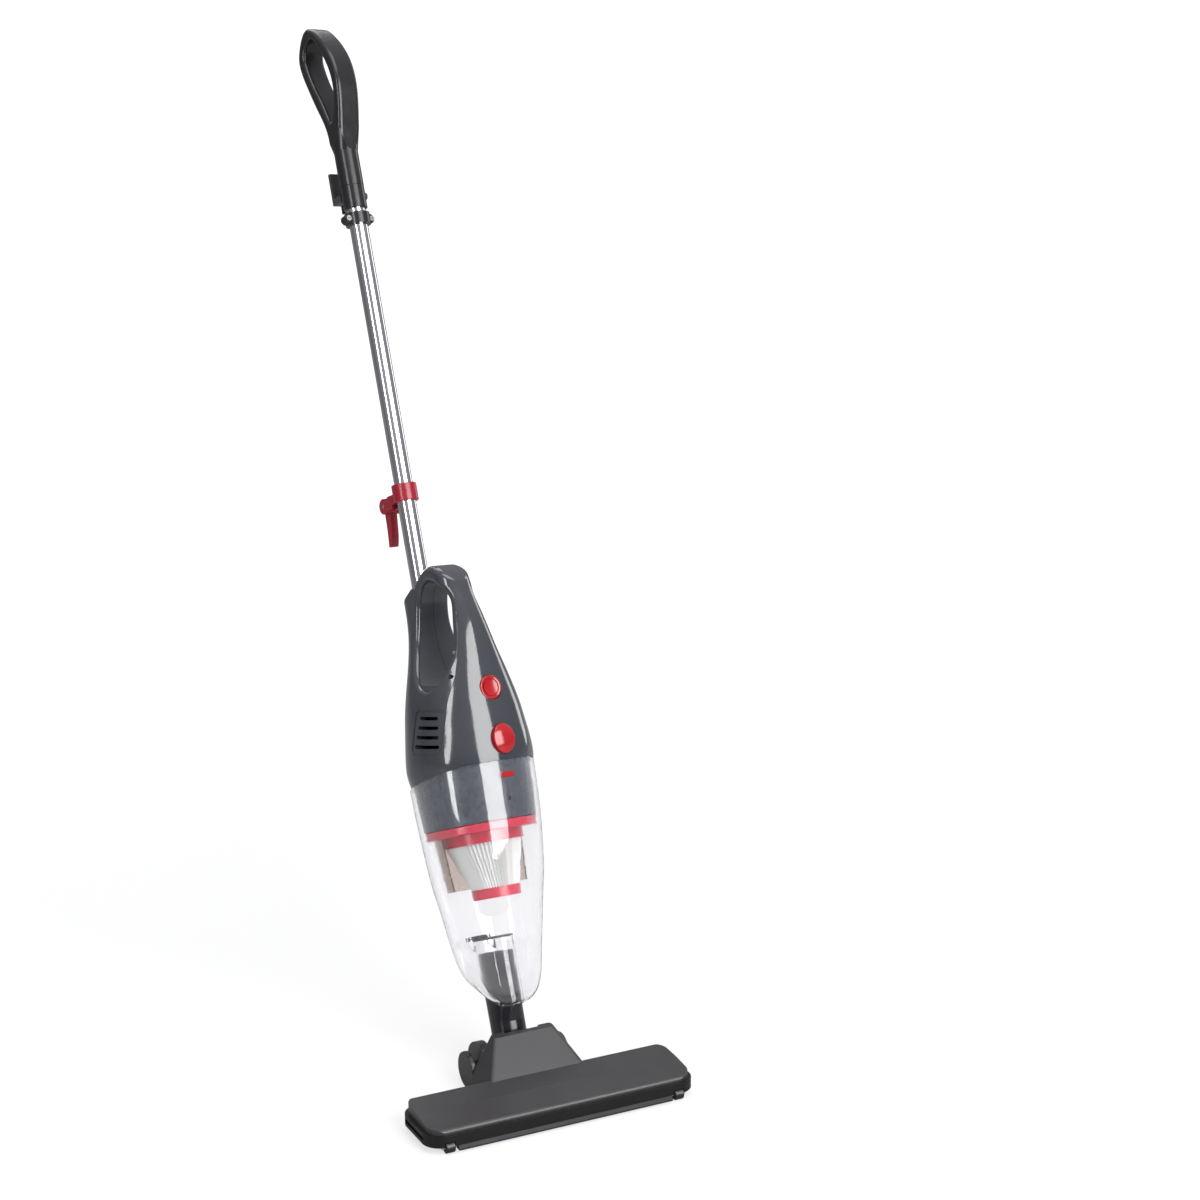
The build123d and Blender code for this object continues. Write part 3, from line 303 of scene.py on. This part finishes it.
def makeDustGroup():
    # thin dust on faces that look up, thicker in patches
    tree, gives, takes = newGroup(
        "settledDust",
        (("Amount", "NodeSocketFloat", 0.1),),
        (("Mask", "NodeSocketFloat"),),
    )
    normal = tree.nodes.new("ShaderNodeNewGeometry").outputs["Normal"]
    split = tree.nodes.new("ShaderNodeSeparateXYZ")
    tree.links.new(normal, split.inputs[0])
    up = addRange(tree, split.outputs["Z"], 0.2, 1.0, 0.0, 1.0)
    coords = tree.nodes.new("ShaderNodeTexCoord").outputs["Object"]
    patchy = addRange(tree, addNoise(tree, coords, 45.0, 6.0, 0.65), 0.35, 0.7, 0.25, 1.0)
    settled = addMath(tree, "MULTIPLY", up, patchy)
    tree.links.new(addMath(tree, "MULTIPLY", settled, gives.outputs["Amount"]), takes.inputs["Mask"])
    return tree


grainGroup = makeGrainGroup()
edgeGroup = makeEdgeGroup()
dustGroup = makeDustGroup()
wear = {
    "dustTone": (0.30, 0.295, 0.285, 1),
    "dustDulls": 0.6,
    "edgeLift": 1.7,
    "coatRoughness": 0.04,
}


def placeGroup(tree, group, **values):
    node = tree.nodes.new("ShaderNodeGroup")
    node.node_tree = group
    for label, value in values.items():
        node.inputs[label.replace("_", " ")].default_value = value
    return node


def shade(color, factor):
    return tuple(min(1.0, c * factor) for c in color[:3]) + (1,)


def placeGrain(tree, color, second, scale, gloss):
    tones = {"Tone": (*color, 1), "Second_Tone": shade(color, second)}
    return placeGroup(tree, grainGroup, **tones, Grain_Scale=scale, Gloss_Low=gloss[0], Gloss_High=gloss[1])


def addRelief(tree, shader, height, depth):
    # depth of the relief in millimetres
    relief = tree.nodes.new("ShaderNodeBump")
    relief.inputs["Strength"].default_value = 1.0
    relief.inputs["Distance"].default_value = depth * 0.001
    tree.links.new(height, relief.inputs["Height"])
    tree.links.new(relief.outputs["Normal"], shader.inputs["Normal"])


def makeMoulded(
    name, color, gloss, grain, bump, dust, worn, coat=0.0, drift=1.12, subsurface=0.0, shine=0.5
):
    material = bpy.data.materials.new(name)
    material.use_nodes = True
    tree = material.node_tree
    shader = tree.nodes["Principled BSDF"]
    skin = placeGrain(tree, color, drift, grain, gloss)
    edges = placeGroup(tree, edgeGroup, Amount=worn)
    dusty = placeGroup(tree, dustGroup, Amount=dust)
    toned = addMix(tree, edges.outputs["Mask"], skin.outputs["Color"], shade(color, wear["edgeLift"]))
    toned = addMix(tree, dusty.outputs["Mask"], toned, wear["dustTone"])
    tree.links.new(toned, shader.inputs["Base Color"])
    dulled = addMath(tree, "MULTIPLY", dusty.outputs["Mask"], wear["dustDulls"])
    tree.links.new(addMath(tree, "ADD", skin.outputs["Roughness"], dulled), shader.inputs["Roughness"])
    addRelief(tree, shader, skin.outputs["Height"], bump)
    shader.inputs["Specular IOR Level"].default_value = shine
    shader.inputs["Coat Weight"].default_value = coat
    shader.inputs["Coat Roughness"].default_value = wear["coatRoughness"]
    shader.inputs["Subsurface Weight"].default_value = subsurface
    return material


def makeMetal(name, color, gloss, brushed=None, bump=0.01):
    material = bpy.data.materials.new(name)
    material.use_nodes = True
    tree = material.node_tree
    shader = tree.nodes["Principled BSDF"]
    shader.inputs["Metallic"].default_value = 1.0
    skin = placeGrain(tree, color, 0.9, 1500.0, gloss)
    tree.links.new(skin.outputs["Color"], shader.inputs["Base Color"])
    tree.links.new(skin.outputs["Roughness"], shader.inputs["Roughness"])
    height = skin.outputs["Height"]
    if brushed:
        coords = tree.nodes.new("ShaderNodeTexCoord").outputs["Object"]
        height = addNoise(tree, coords, 600.0, 3.0, 0.6, brushed)
    addRelief(tree, shader, height, bump)
    return material


def makeClear(name, color, rough, ior=1.46, passes=0.9):
    # clear moulding that lets lamp light through to what it covers
    material = bpy.data.materials.new(name)
    material.use_nodes = True
    tree = material.node_tree
    shader = tree.nodes["Principled BSDF"]
    shader.inputs["Transmission Weight"].default_value = 1.0
    shader.inputs["IOR"].default_value = ior
    skin = placeGrain(tree, color, 0.985, 300.0, (rough, rough * 2.5))
    tree.links.new(skin.outputs["Color"], shader.inputs["Base Color"])
    tree.links.new(skin.outputs["Roughness"], shader.inputs["Roughness"])
    lets = tree.nodes.new("ShaderNodeBsdfTransparent")
    lets.inputs["Color"].default_value = (*color, 1)
    path = tree.nodes.new("ShaderNodeLightPath")
    blend = tree.nodes.new("ShaderNodeMixShader")
    shadow = addMath(tree, "MULTIPLY", path.outputs["Is Shadow Ray"], passes)
    tree.links.new(shadow, blend.inputs["Fac"])
    tree.links.new(shader.outputs["BSDF"], blend.inputs[1])
    tree.links.new(lets.outputs["BSDF"], blend.inputs[2])
    tree.links.new(blend.outputs["Shader"], tree.nodes["Material Output"].inputs["Surface"])
    return material


def finishNode(name, material):
    thing = nodes[name]
    for place in range(max(1, len(thing.material_slots))):
        if thing.material_slots:
            thing.material_slots[place].material = material
        else:
            thing.data.materials.append(material)


# tone, least and most roughness, grain size, relief in mm, dust and edge wear
moulded = {
    "shellGrey": {
        "color": (0.026, 0.028, 0.034), "gloss": (0.1, 0.17), "grain": 700.0, "bump": 0.006,
        "dust": 0.03, "worn": 0.25, "coat": 0.5,
    },
    "gripDark": {
        "color": (0.007, 0.007, 0.008), "gloss": (0.2, 0.28), "grain": 1400.0, "bump": 0.012,
        "dust": 0.02, "worn": 0.5,
    },
    "headGrey": {
        "color": (0.021, 0.021, 0.0225), "gloss": (0.3, 0.37), "grain": 1100.0, "bump": 0.01,
        "dust": 0.02, "worn": 0.5, "shine": 0.45,
    },
    "bumperBlack": {
        "color": (0.003, 0.003, 0.0035), "gloss": (0.36, 0.48), "grain": 1300.0, "bump": 0.03,
        "dust": 0.02, "worn": 0.3, "shine": 0.3,
    },
    # the lip is grey plastic; its tone here is darkened and tinted blue as painted shade and painted
    # reflection, for a strip that faces down and forward under the bumper
    "lipGreyPaintedShade": {
        "color": (0.008, 0.008, 0.011), "gloss": (0.35, 0.45), "grain": 1200.0, "bump": 0.02,
        "dust": 0.02, "worn": 0.3, "shine": 0.25,
    },
    "soleDark": {
        "color": (0.02, 0.02, 0.021), "gloss": (0.45, 0.6), "grain": 900.0, "bump": 0.05,
        "dust": 0.05, "worn": 0.4,
    },
    "wheelBlack": {
        "color": (0.004, 0.004, 0.0045), "gloss": (0.26, 0.36), "grain": 1000.0, "bump": 0.02,
        "dust": 0.03, "worn": 0.5,
    },
    "neckDark": {
        "color": (0.005, 0.005, 0.007), "gloss": (0.14, 0.2), "grain": 1000.0, "bump": 0.01,
        "dust": 0.02, "worn": 0.4,
    },
    "controlRed": {
        "color": (0.27, 0.004, 0.007), "gloss": (0.14, 0.2), "grain": 900.0, "bump": 0.006,
        "dust": 0.01, "worn": 0.25, "coat": 0.3, "drift": 1.05, "subsurface": 0.03,
    },
    "hookRed": {
        "color": (0.21, 0.004, 0.014), "gloss": (0.2, 0.28), "grain": 900.0, "bump": 0.012,
        "dust": 0.02, "worn": 0.3, "drift": 1.08,
    },
    "ringRed": {
        "color": (0.3, 0.004, 0.022), "gloss": (0.16, 0.24), "grain": 900.0, "bump": 0.01,
        "dust": 0.01, "worn": 0.2, "drift": 1.05,
    },
    "skirtDark": {
        "color": (0.013, 0.016, 0.025), "gloss": (0.24, 0.32), "grain": 900.0, "bump": 0.02,
        "dust": 0.04, "worn": 0.2,
    },
    "hookGrey": {
        "color": (0.03, 0.03, 0.032), "gloss": (0.3, 0.42), "grain": 1100.0, "bump": 0.02,
        "dust": 0.05, "worn": 0.4,
    },
    "clipBlack": {
        "color": (0.004, 0.004, 0.0045), "gloss": (0.26, 0.36), "grain": 1100.0, "bump": 0.02,
        "dust": 0.04, "worn": 0.3,
    },
    "flapRubber": {
        "color": (0.012, 0.012, 0.012), "gloss": (0.55, 0.7), "grain": 1500.0, "bump": 0.05,
        "dust": 0.1, "worn": 0.1,
    },
    "pleatPaper": {
        "color": (0.5, 0.5, 0.49), "gloss": (0.85, 0.95), "grain": 1800.0, "bump": 0.12,
        "dust": 0.08, "worn": 0.0, "drift": 0.93, "subsurface": 0.1,
    },
    "feltRed": {
        "color": (0.35, 0.02, 0.04), "gloss": (0.9, 1.0), "grain": 2500.0, "bump": 0.4,
        "dust": 0.1, "worn": 0.0, "drift": 0.8,
    },
    "fanWhite": {
        "color": (0.62, 0.62, 0.6), "gloss": (0.4, 0.5), "grain": 900.0, "bump": 0.02,
        "dust": 0.05, "worn": 0.1,
    },
    "cellWrap": {
        "color": (0.03, 0.14, 0.3), "gloss": (0.25, 0.35), "grain": 900.0, "bump": 0.01,
        "dust": 0.02, "worn": 0.3,
    },
    "boardGreen": {
        "color": (0.02, 0.14, 0.06), "gloss": (0.3, 0.5), "grain": 500.0, "bump": 0.05,
        "dust": 0.05, "worn": 0.2,
    },
}
finishes = {name: makeMoulded(name, **values) for name, values in moulded.items()}
finishes["tubeChrome"] = makeMetal("tubeChrome", (0.66, 0.66, 0.68), (0.06, 0.12), bump=0.004)
finishes["screwSteel"] = makeMetal("screwSteel", (0.52, 0.52, 0.53), (0.25, 0.4))
finishes["motorSteel"] = makeMetal("motorSteel", (0.48, 0.48, 0.48), (0.3, 0.4), (1, 1, 12), 0.02)
finishes["binClear"] = makeClear("binClear", (0.955, 0.954, 0.967), 0.015)
finishes["smokeClear"] = makeClear("smokeClear", (0.62, 0.52, 0.46), 0.12, 1.3, 0.6)

nodeFinish = {
    "shellGrey": ("housing_front", "housing_left", "housing_right"),
    "gripDark": ("handle_grip", "handle_collar", "clamp_ring"),
    "headGrey": ("head_cover",),
    "bumperBlack": ("head_bumper",),
    # the front lip takes the lip tone, which carries painted shade and painted reflection
    "lipGreyPaintedShade": ("front_lip",),
    "soleDark": ("head_sole", "battery_tray"),
    "feltRed": ("lint_strips",),
    "screwSteel": (
        "sole_screws", "roller_pins", "wheel_axles", "flap_pin", "hook_pin", "clamp_screws", "housing_screws",
    ),
    "wheelBlack": ("rear_wheel_left", "rear_wheel_right", "front_roller_left", "front_roller_right"),
    "neckDark": ("neck_tube", "tilt_elbow"),
    "binClear": ("dust_bin", "inlet_duct"),
    "controlRed": ("power_button", "release_button", "bin_catch"),
    "ringRed": ("filter_ring", "filter_cap"),
    "hookRed": ("cord_hook_collar", "cord_hook_lever"),
    "pleatPaper": ("filter_pleats",),
    "smokeClear": ("dust_deflector",),
    "skirtDark": ("motor_skirt",),
    "tubeChrome": ("wand_tube",),
    "motorSteel": ("motor",),
    "fanWhite": ("impeller", "fan_shroud"),
    "flapRubber": ("motor_mount", "inlet_flap"),
    "cellWrap": ("battery_cells",),
    "boardGreen": ("control_board",),
    "hookGrey": ("upper_cord_hook", "wand_lock_button"),
    "clipBlack": ("cord_clip",),
}
for finish, names in nodeFinish.items():
    for name in names:
        finishNode(name, finishes[finish])
print("finishes set on the moulded parts")

# ------------------------------------------------ pieces grown by geometry nodes
def newTree(name, inputs):
    tree = bpy.data.node_groups.new(name, "GeometryNodeTree")
    tree.interface.new_socket(name="Geometry", in_out="INPUT", socket_type="NodeSocketGeometry")
    for label, kind, value in inputs:
        socket = tree.interface.new_socket(name=label, in_out="INPUT", socket_type=kind)
        if value is not None:
            socket.default_value = value
    tree.interface.new_socket(name="Geometry", in_out="OUTPUT", socket_type="NodeSocketGeometry")
    return tree, tree.nodes.new("NodeGroupInput"), tree.nodes.new("NodeGroupOutput")


def endTree(tree, gives, takes, geometry):
    # every tree ends as real mesh with its material on it
    real = tree.nodes.new("GeometryNodeRealizeInstances")
    paint = tree.nodes.new("GeometryNodeSetMaterial")
    tree.links.new(geometry, real.inputs["Geometry"])
    tree.links.new(real.outputs["Geometry"], paint.inputs["Geometry"])
    tree.links.new(gives.outputs["Material"], paint.inputs["Material"])
    tree.links.new(paint.outputs["Geometry"], takes.inputs["Geometry"])


def growPiece(name, tree, values, start=None, place=None):
    # runs a tree once and keeps its result as a plain mesh
    base = start.copy() if start else bpy.data.meshes.new(name + "Start")
    holder = bpy.data.objects.new(name + "Holder", base)
    bpy.context.collection.objects.link(holder)
    step = holder.modifiers.new("grow", "NODES")
    step.node_group = tree
    for item in tree.interface.items_tree:
        if item.in_out == "INPUT" and item.name in values:
            step[item.identifier] = values[item.name]
    ready = holder.evaluated_get(bpy.context.evaluated_depsgraph_get())
    mesh = bpy.data.meshes.new_from_object(ready)
    mesh.name = name
    bpy.data.objects.remove(holder)
    if place:
        mesh.transform(place)
    piece = bpy.data.objects.new(name, mesh)
    bpy.context.collection.objects.link(piece)
    return piece


def fieldMath(tree, kind, a, b=0.0, c=None):
    node = tree.nodes.new("ShaderNodeMath")
    node.operation = kind
    for place, number in enumerate((a, b) if c is None else (a, b, c)):
        if hasattr(number, "links"):
            tree.links.new(number, node.inputs[place])
        else:
            node.inputs[place].default_value = number
    return node.outputs[0]


def between(tree, share, low, high):
    # a value that runs from low to high as the share runs from 0 to 1
    return fieldMath(tree, "MULTIPLY_ADD", share, fieldMath(tree, "SUBTRACT", high, low), low)


pleats = {
    "folds": 56,
    "stepsPerFold": 8,
    "rows": 20,
    "topRadius": 0.0376,
    "lowRadius": 0.0236,
    "topDepth": 0.0052,
    "lowDepth": 0.0030,
    "topHeight": 0.2122,
    "lowHeight": 0.1678,
    "topBack": -0.013,
    "lowBack": -0.020,
    "unevenness": 0.35,
}


def makePleats():
    tree, gives, takes = newTree(
        "foldedFilterPaper",
        (
            ("Folds", "NodeSocketInt", 44),
            ("Columns", "NodeSocketInt", 353),
            ("Rows", "NodeSocketInt", 20),
            ("Top Radius", "NodeSocketFloat", 0.03),
            ("Low Radius", "NodeSocketFloat", 0.02),
            ("Top Depth", "NodeSocketFloat", 0.004),
            ("Low Depth", "NodeSocketFloat", 0.003),
            ("Top Height", "NodeSocketFloat", 0.2),
            ("Low Height", "NodeSocketFloat", 0.1),
            ("Top Back", "NodeSocketFloat", 0.0),
            ("Low Back", "NodeSocketFloat", 0.0),
            ("Unevenness", "NodeSocketFloat", 0.3),
            ("Seed", "NodeSocketInt", 3),
            ("Material", "NodeSocketMaterial", None),
        ),
    )
    value = gives.outputs
    sheet = tree.nodes.new("GeometryNodeMeshGrid")
    sheet.inputs["Size X"].default_value = 1.0
    sheet.inputs["Size Y"].default_value = 1.0
    tree.links.new(value["Columns"], sheet.inputs["Vertices X"])
    tree.links.new(value["Rows"], sheet.inputs["Vertices Y"])
    where = tree.nodes.new("ShaderNodeSeparateXYZ")
    tree.links.new(tree.nodes.new("GeometryNodeInputPosition").outputs[0], where.inputs[0])
    across = fieldMath(tree, "ADD", where.outputs["X"], 0.5)
    up = fieldMath(tree, "ADD", where.outputs["Y"], 0.5)
    foldPlace = fieldMath(tree, "MULTIPLY", across, value["Folds"])
    # each fold is a little deeper or shallower than the next
    chance = tree.nodes.new("FunctionNodeRandomValue")
    chance.data_type = "FLOAT"
    tree.links.new(fieldMath(tree, "FLOOR", foldPlace), chance.inputs["ID"])
    tree.links.new(value["Seed"], chance.inputs["Seed"])
    odd = [s for s in chance.outputs if s.enabled][0]
    fold = fieldMath(tree, "MULTIPLY", fieldMath(tree, "PINGPONG", foldPlace, 0.5), 2.0)
    fold = fieldMath(tree, "SMOOTH_MIN", fold, 0.93, 0.12)
    radius = between(tree, up, value["Low Radius"], value["Top Radius"])
    depth = between(tree, up, value["Low Depth"], value["Top Depth"])
    vary = fieldMath(tree, "SUBTRACT", 1.0, fieldMath(tree, "MULTIPLY", odd, value["Unevenness"]))
    inward = fieldMath(tree, "MULTIPLY", fieldMath(tree, "MULTIPLY", fold, depth), vary)
    reach = fieldMath(tree, "SUBTRACT", radius, inward)
    angle = fieldMath(tree, "MULTIPLY", across, tau)
    back = between(tree, up, value["Low Back"], value["Top Back"])
    height = between(tree, up, value["Low Height"], value["Top Height"])
    spot = tree.nodes.new("ShaderNodeCombineXYZ")
    sideways = fieldMath(tree, "MULTIPLY", reach, fieldMath(tree, "COSINE", angle))
    backward = fieldMath(tree, "MULTIPLY_ADD", reach, fieldMath(tree, "SINE", angle), back)
    tree.links.new(sideways, spot.inputs["X"])
    tree.links.new(backward, spot.inputs["Y"])
    tree.links.new(height, spot.inputs["Z"])
    bend = tree.nodes.new("GeometryNodeSetPosition")
    tree.links.new(sheet.outputs["Mesh"], bend.inputs["Geometry"])
    tree.links.new(spot.outputs[0], bend.inputs["Position"])
    join = tree.nodes.new("GeometryNodeMergeByDistance")
    join.inputs["Distance"].default_value = 0.00002
    tree.links.new(bend.outputs["Geometry"], join.inputs["Geometry"])
    endTree(tree, gives, takes, join.outputs["Geometry"])
    piece = growPiece(
        "filterPaper",
        tree,
        {
            "Folds": pleats["folds"],
            "Columns": pleats["folds"] * pleats["stepsPerFold"] + 1,
            "Rows": pleats["rows"],
            "Top Radius": pleats["topRadius"],
            "Low Radius": pleats["lowRadius"],
            "Top Depth": pleats["topDepth"],
            "Low Depth": pleats["lowDepth"],
            "Top Height": pleats["topHeight"],
            "Low Height": pleats["lowHeight"],
            "Top Back": pleats["topBack"],
            "Low Back": pleats["lowBack"],
            "Unevenness": pleats["unevenness"],
            "Material": finishes["pleatPaper"],
        },
        place=unitFrame,
    )
    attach(piece, "filter")
    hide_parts("filter_pleats")


makePleats()
print("filter folded")

pile = {"perSquareMetre": 900000.0, "length": 0.0011, "thickness": 0.00022, "seed": 5}


def makePile():
    # short directional pile on the two lint strips
    tree, gives, takes = newTree(
        "lintPile",
        (
            ("Density", "NodeSocketFloat", 100000.0),
            ("Length", "NodeSocketFloat", 0.001),
            ("Thickness", "NodeSocketFloat", 0.0002),
            ("Seed", "NodeSocketInt", 5),
            ("Material", "NodeSocketMaterial", None),
        ),
    )
    value = gives.outputs
    scatter = tree.nodes.new("GeometryNodeDistributePointsOnFaces")
    tree.links.new(value["Geometry"], scatter.inputs["Mesh"])
    tree.links.new(value["Density"], scatter.inputs["Density"])
    tree.links.new(value["Seed"], scatter.inputs["Seed"])
    facing = tree.nodes.new("ShaderNodeSeparateXYZ")
    tree.links.new(tree.nodes.new("GeometryNodeInputNormal").outputs[0], facing.inputs[0])
    under = tree.nodes.new("FunctionNodeCompare")
    under.data_type = "FLOAT"
    under.operation = "LESS_THAN"
    tree.links.new(facing.outputs["Z"], under.inputs["A"])
    under.inputs["B"].default_value = -0.9
    tree.links.new(under.outputs[0], scatter.inputs["Selection"])
    hair = tree.nodes.new("GeometryNodeMeshCone")
    hair.inputs["Vertices"].default_value = 3
    hair.inputs["Radius Top"].default_value = 0.00004
    tree.links.new(value["Thickness"], hair.inputs["Radius Bottom"])
    tree.links.new(value["Length"], hair.inputs["Depth"])
    lean = tree.nodes.new("FunctionNodeRandomValue")
    lean.data_type = "FLOAT_VECTOR"
    lean.inputs["Min"].default_value = (0.35, -0.15, 0.0)
    lean.inputs["Max"].default_value = (0.75, 0.15, 6.28)
    tree.links.new(value["Seed"], lean.inputs["Seed"])
    turned = tree.nodes.new("FunctionNodeRotateEuler")
    turned.space = "LOCAL"
    tree.links.new(scatter.outputs["Rotation"], turned.inputs[0])
    tree.links.new([s for s in lean.outputs if s.enabled][0], turned.inputs["Rotate By"])
    plant = tree.nodes.new("GeometryNodeInstanceOnPoints")
    tree.links.new(scatter.outputs["Points"], plant.inputs["Points"])
    tree.links.new(hair.outputs["Mesh"], plant.inputs["Instance"])
    tree.links.new(turned.outputs[0], plant.inputs["Rotation"])
    endTree(tree, gives, takes, plant.outputs["Instances"])
    piece = growPiece(
        "stripPile",
        tree,
        {
            "Density": pile["perSquareMetre"],
            "Length": pile["length"],
            "Thickness": pile["thickness"],
            "Seed": pile["seed"],
            "Material": finishes["feltRed"],
        },
        start=nodes["lint_strips"].data,
    )
    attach(piece, "head")


makePile()
print("lint strips given their pile")
